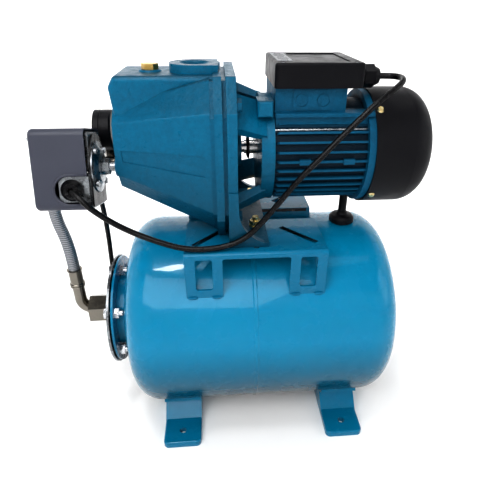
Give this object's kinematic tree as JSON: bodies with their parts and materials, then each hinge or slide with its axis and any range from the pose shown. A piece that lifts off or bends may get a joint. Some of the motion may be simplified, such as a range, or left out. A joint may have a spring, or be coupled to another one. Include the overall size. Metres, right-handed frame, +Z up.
{
  "type": "shallow well jet pump",
  "caption": "Shallow well jet pump with its motor and pressure switch standing on a horizontal pressure tank, joined by a braided hose.",
  "frame": {"origin": "centre of the four floor bolt holes, on the floor plane", "axes": "+X along the tank and motor towards the fan cover, +Z up"},
  "size_m": [0.4996, 0.3295, 0.4949],
  "materials": {
    "blue_gloss": "gloss enamel over smooth steel",
    "blue_cast": "enamel over rough castings",
    "rubber_black": "matte",
    "steel_zinc": "zinc plated",
    "steel_yellow": "yellow zinc plated",
    "black_plastic": "fine grain",
    "black_gloss": "moulded",
    "grey_plastic": "moulded",
    "brass": "cast and machined",
    "nickel": "nickel plated",
    "aluminium": "bright",
    "white_plastic": "moulded",
    "glass": "clear",
    "copper": "wound wire"
  },
  "bodies": {
    "pump_set": {"air_valve": "brass", "body_bolts": "blue_cast", "body_oring": "rubber_black", "braided_hose": "steel_zinc", "cable_gland": "black_gloss", "cover_nut": "steel_zinc", "data_label": "aluminium", "drain_plug": "brass", "ejector": "black_plastic", "fan_cover": "black_plastic", "fan_cover_screws": "steel_yellow", "flange_fixings": "steel_zinc", "foot_fixings": "steel_zinc", "front_bearing": "steel_zinc", "gauge_case": "black_gloss", "gauge_fitting": "nickel", "gauge_glass": "glass", "hose_fittings": "nickel", "hose_tail_pipe": "nickel", "hose_union_nut": "nickel", "lid_screws": "steel_zinc", "mains_coil": "rubber_black", "mains_cord": "rubber_black", "mains_plug": "rubber_black", "motor_bracket": "blue_cast", "motor_cable": "rubber_black", "motor_frame": "blue_cast", "pump_body": "blue_cast", "range_adjuster": "steel_zinc", "rear_bearing": "steel_zinc", "rear_shield": "aluminium", "saddle": "blue_gloss", "seal_cover": "blue_cast", "seal_stationary": "white_plastic", "start_gear": "white_plastic", "stator": "copper", "switch_base": "steel_zinc", "switch_cover": "grey_plastic", "switch_diaphragm": "rubber_black", "switch_flange": "steel_zinc", "switch_grommets": "rubber_black", "tank_counterflange": "steel_zinc", "tank_foot_left": "blue_gloss", "tank_foot_right": "blue_gloss", "tank_membrane": "rubber_black", "tank_shell": "blue_gloss", "terminal_lid": "black_plastic", "tie_bolts": "steel_zinc"},
    "rotor": {"shaft": "nickel", "rotor_core": "steel_zinc", "impeller": "brass", "cooling_fan": "black_plastic", "seal_rotating": "nickel", "slinger": "rubber_black"},
    "gauge_hand": {"gauge_pointer": "black_plastic"},
    "motor_foot": {"support_foot": "black_plastic"},
    "priming_cap": {"priming_plug": "brass"},
    "valve_cap": {"air_valve_cap": "black_plastic"},
    "switch_rod": {"push_rod": "white_plastic"},
    "switch_arm": {"contact_lever": "brass"}
  },
  "joints": [
    {"name": "rotor_spin", "type": "hinge", "parent": "pump_set", "child": "rotor", "pos_m": [0.05, 0, 0.3875], "axis": [1, 0, 0], "continuous": true},
    {"name": "gauge_needle", "type": "hinge", "parent": "pump_set", "child": "gauge_hand", "pos_m": [-0.195, 0.038, 0.401], "axis": [-1, 0, 0], "range_deg": [-250, 0]},
    {"name": "foot_screw", "type": "slide", "parent": "pump_set", "child": "motor_foot", "axis": [0, 0, 1], "range_m": [0, 0.005]},
    {"name": "priming_unscrew", "type": "slide", "parent": "pump_set", "child": "priming_cap", "axis": [0, 0, 1], "range_m": [0, 0.03]},
    {"name": "valve_cap_pull", "type": "slide", "parent": "pump_set", "child": "valve_cap", "axis": [1, 0, 0], "range_m": [0, 0.03]},
    {"name": "switch_push", "type": "slide", "parent": "pump_set", "child": "switch_rod", "axis": [-1, 0, 0], "range_m": [0, 0.0008]},
    {"name": "switch_contact", "type": "hinge", "parent": "pump_set", "child": "switch_arm", "pos_m": [-0.21025, -0.01385, 0.37822], "axis": [0, 0.2756, 0.9613], "range_deg": [-2.4, 2.4]}
  ],
  "couplings": [
    {"joint": "switch_contact", "follows": "switch_push", "rad_per_m": -50}
  ]
}
